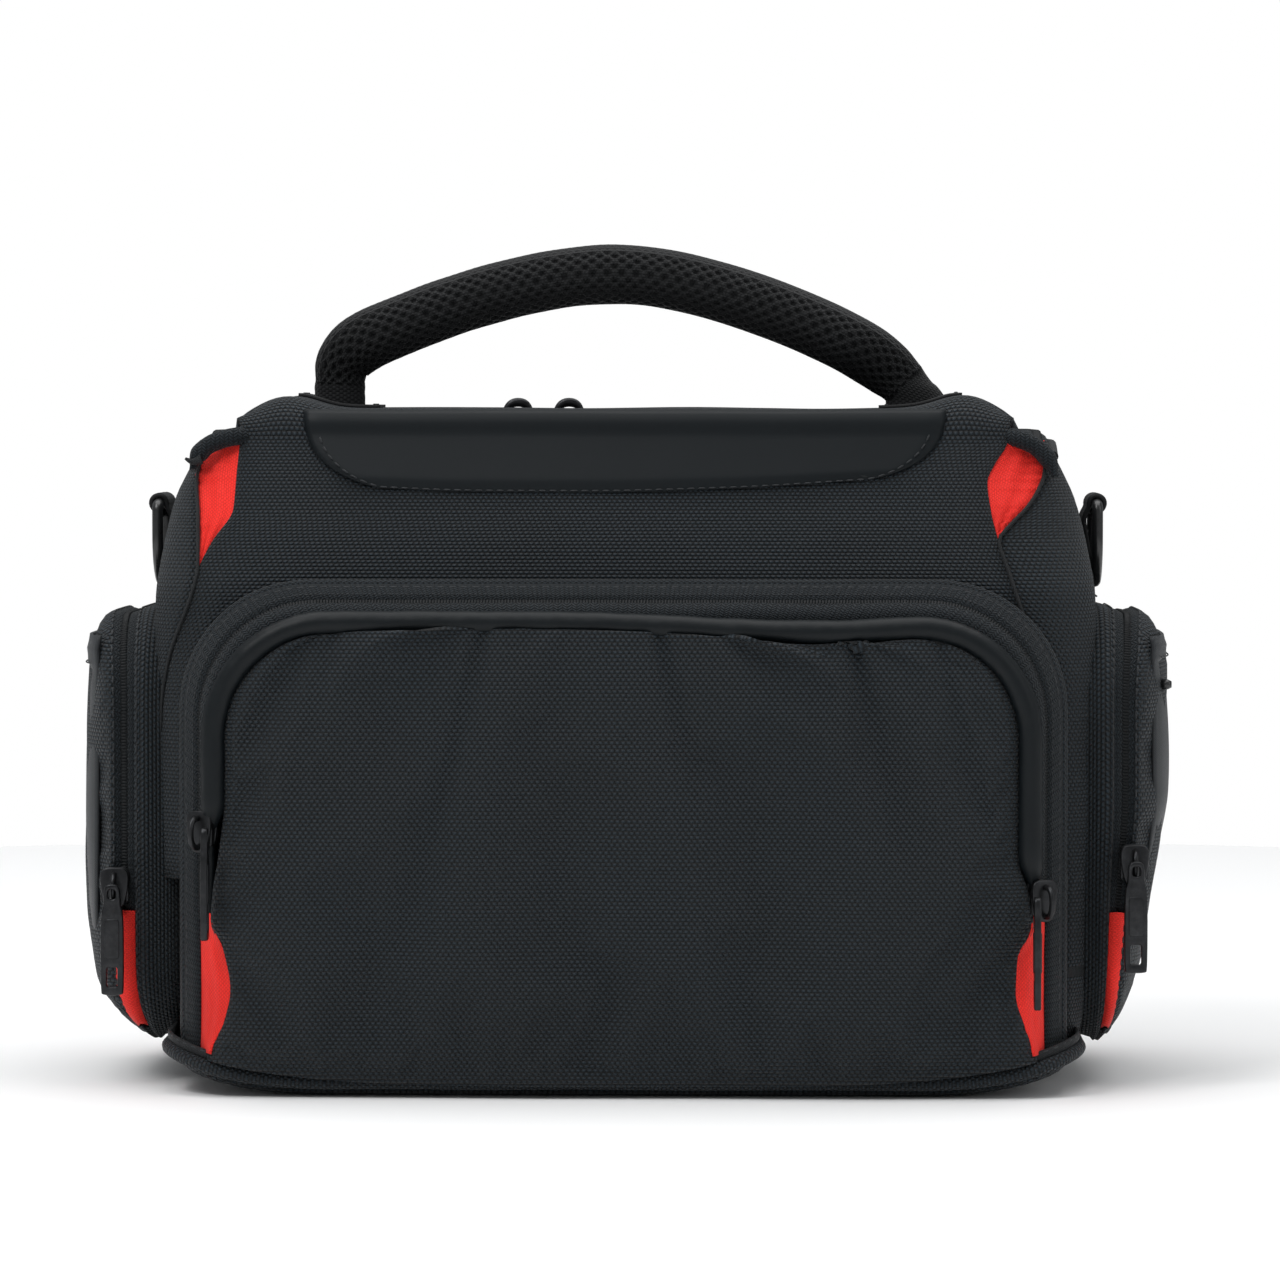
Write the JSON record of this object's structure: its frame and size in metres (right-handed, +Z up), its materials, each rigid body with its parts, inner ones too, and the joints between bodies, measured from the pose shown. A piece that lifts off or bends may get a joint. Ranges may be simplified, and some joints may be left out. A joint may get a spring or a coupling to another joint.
{
  "type": "camera shoulder bag",
  "caption": "Padded camera bag with a front-hinged zipped lid, carrying handle, arched front pocket, side pockets and strap D-rings.",
  "frame": {"origin": "centre of the base's flat underside, on the ground", "axes": "+X to the right as seen from the front, -Y out of the front pocket, +Z up"},
  "size_m": [0.315, 0.158, 0.2425],
  "materials": {
    "shell_nylon": "ballistic-weave nylon, matt, dark charcoal with a blue tint",
    "slip_cloth": "smoother coated nylon",
    "trim_panel": "smooth matt coated trim",
    "handle_mesh": "spacer mesh over foam",
    "zipper_tape": "woven zipper tape with a nylon coil",
    "piping": "smooth matt piping",
    "red_gusset": "plain-weave red nylon",
    "webbing": "ribbed webbing",
    "zip_metal": "black satin plated zinc",
    "ring_metal": "black painted steel wire",
    "lining": "brushed grey lining over foam"
  },
  "bodies": {
    "body": {"base_panel": "shell_nylon", "base_piping": "piping", "floor_pad": "lining", "front_wall": "shell_nylon", "back_wall": "shell_nylon", "side_wall_left": "shell_nylon", "side_wall_right": "shell_nylon", "rim_zip_body": "zipper_tape", "d_ring_tab_left": "webbing", "d_ring_tab_right": "webbing", "lid_gusset_left": "red_gusset", "lid_gusset_right": "red_gusset", "front_pocket_band": "shell_nylon", "front_zip_body": "zipper_tape", "front_gusset_left": "red_gusset", "front_gusset_right": "red_gusset", "side_pocket_band_left": "shell_nylon", "side_pocket_band_right": "shell_nylon", "side_zip_body_left": "zipper_tape", "side_zip_body_right": "zipper_tape", "side_gusset_front_left": "red_gusset", "side_gusset_front_right": "red_gusset", "side_gusset_back_left": "red_gusset", "side_gusset_back_right": "red_gusset"},
    "lid": {"lid_front": "shell_nylon", "lid_trim_panel": "trim_panel", "lid_top": "shell_nylon", "lid_zip_half": "zipper_tape", "handle_foot_left": "webbing", "handle_foot_right": "webbing"},
    "handle": {"handle_grip": "handle_mesh"},
    "front_flap": {"front_flap_panel": "shell_nylon", "front_flap_piping": "piping", "front_zip_flap": "zipper_tape"},
    "side_flap_left": {"side_flap_left": "shell_nylon", "side_zip_flap_left": "zipper_tape", "side_slip_pocket_left": "slip_cloth"},
    "divider_left": {"divider_left": "lining"},
    "d_ring_left": {"d_ring_left": "ring_metal"},
    "main_slider_left": {"main_slider_left": "zip_metal"},
    "main_pull_left": {"main_pull_left": "zip_metal"},
    "front_slider_left": {"front_slider_left": "zip_metal"},
    "front_pull_left": {"front_pull_left": "zip_metal"},
    "side_slider_left": {"side_slider_left": "zip_metal"},
    "side_pull_left": {"side_pull_left": "zip_metal"},
    "side_flap_right": {"side_flap_right": "shell_nylon", "side_zip_flap_right": "zipper_tape", "side_slip_pocket_right": "slip_cloth"},
    "divider_right": {"divider_right": "lining"},
    "d_ring_right": {"d_ring_right": "ring_metal"},
    "main_slider_right": {"main_slider_right": "zip_metal"},
    "main_pull_right": {"main_pull_right": "zip_metal"},
    "front_slider_right": {"front_slider_right": "zip_metal"},
    "front_pull_right": {"front_pull_right": "zip_metal"},
    "side_slider_right": {"side_slider_right": "zip_metal"},
    "side_pull_right": {"side_pull_right": "zip_metal"}
  },
  "joints": [
    {"name": "lid_hinge", "type": "hinge", "parent": "body", "child": "lid", "pos_m": [0, -0.054, 0.1435], "axis": [1, 0, 0], "range_deg": [0, 95]},
    {"name": "handle_swing", "type": "hinge", "parent": "lid", "child": "handle", "pos_m": [0, 0.01, 0.2], "axis": [1, 0, 0], "range_deg": [-55, 55]},
    {"name": "front_flap_hinge", "type": "hinge", "parent": "body", "child": "front_flap", "pos_m": [0, -0.074, 0.01], "axis": [1, 0, 0], "range_deg": [0, 40]},
    {"name": "side_flap_hinge_left", "type": "hinge", "parent": "body", "child": "side_flap_left", "pos_m": [-0.1535, 0, 0.0135], "axis": [0, -1, 0], "range_deg": [0, 40]},
    {"name": "divider_slide_left", "type": "slide", "parent": "body", "child": "divider_left", "axis": [1, 0, 0], "range_m": [-0.03, 0.03]},
    {"name": "d_ring_swing_left", "type": "hinge", "parent": "body", "child": "d_ring_left", "pos_m": [-0.1396, 0, 0.1665], "axis": [0, 1, 0], "range_deg": [0, 150]},
    {"name": "side_flap_hinge_right", "type": "hinge", "parent": "body", "child": "side_flap_right", "pos_m": [0.1535, 0, 0.0135], "axis": [0, 1, 0], "range_deg": [0, 40]},
    {"name": "divider_slide_right", "type": "slide", "parent": "body", "child": "divider_right", "axis": [1, 0, 0], "range_m": [-0.03, 0.03]},
    {"name": "d_ring_swing_right", "type": "hinge", "parent": "body", "child": "d_ring_right", "pos_m": [0.1396, 0, 0.1665], "axis": [0, -1, 0], "range_deg": [0, 150]},
    {"name": "main_zip_left", "type": "slide", "parent": "body", "child": "main_slider_left", "axis": [1, 0, 0], "range_m": [-0.067, 0]},
    {"name": "main_pull_swing_left", "type": "hinge", "parent": "main_slider_left", "child": "main_pull_left", "pos_m": [-0.035, 0.075, 0.1901], "axis": [1, 0, 0], "range_deg": [0, 150]},
    {"name": "main_zip_right", "type": "slide", "parent": "body", "child": "main_slider_right", "axis": [1, 0, 0], "range_m": [0, 0.11]},
    {"name": "main_pull_swing_right", "type": "hinge", "parent": "main_slider_right", "child": "main_pull_right", "pos_m": [-0.0195, 0.075, 0.1901], "axis": [1, 0, 0], "range_deg": [0, 150]},
    {"name": "front_zip_left", "type": "slide", "parent": "front_flap", "child": "front_slider_left", "axis": [0, 0, 1], "range_m": [-0.015, 0.025]},
    {"name": "front_pull_swing_left", "type": "hinge", "parent": "front_slider_left", "child": "front_pull_left", "pos_m": [-0.1204, -0.0781, 0.075], "axis": [0, 1, 0], "range_deg": [0, 120]},
    {"name": "front_zip_right", "type": "slide", "parent": "front_flap", "child": "front_slider_right", "axis": [0, 0, 1], "range_m": [0, 0.045]},
    {"name": "front_pull_swing_right", "type": "hinge", "parent": "front_slider_right", "child": "front_pull_right", "pos_m": [0.1204, -0.0781, 0.056], "axis": [0, -1, 0], "range_deg": [0, 120]},
    {"name": "side_zip_left", "type": "slide", "parent": "side_flap_left", "child": "side_slider_left", "axis": [0, 0, 1], "range_m": [0, 0.04]},
    {"name": "side_pull_swing_left", "type": "hinge", "parent": "side_slider_left", "child": "side_pull_left", "pos_m": [-0.144, -0.0547, 0.057], "axis": [-1, 0, 0], "range_deg": [0, 120]},
    {"name": "side_zip_right", "type": "slide", "parent": "side_flap_right", "child": "side_slider_right", "axis": [0, 0, 1], "range_m": [0, 0.04]},
    {"name": "side_pull_swing_right", "type": "hinge", "parent": "side_slider_right", "child": "side_pull_right", "pos_m": [0.144, -0.0547, 0.064], "axis": [-1, 0, 0], "range_deg": [0, 120]}
  ]
}
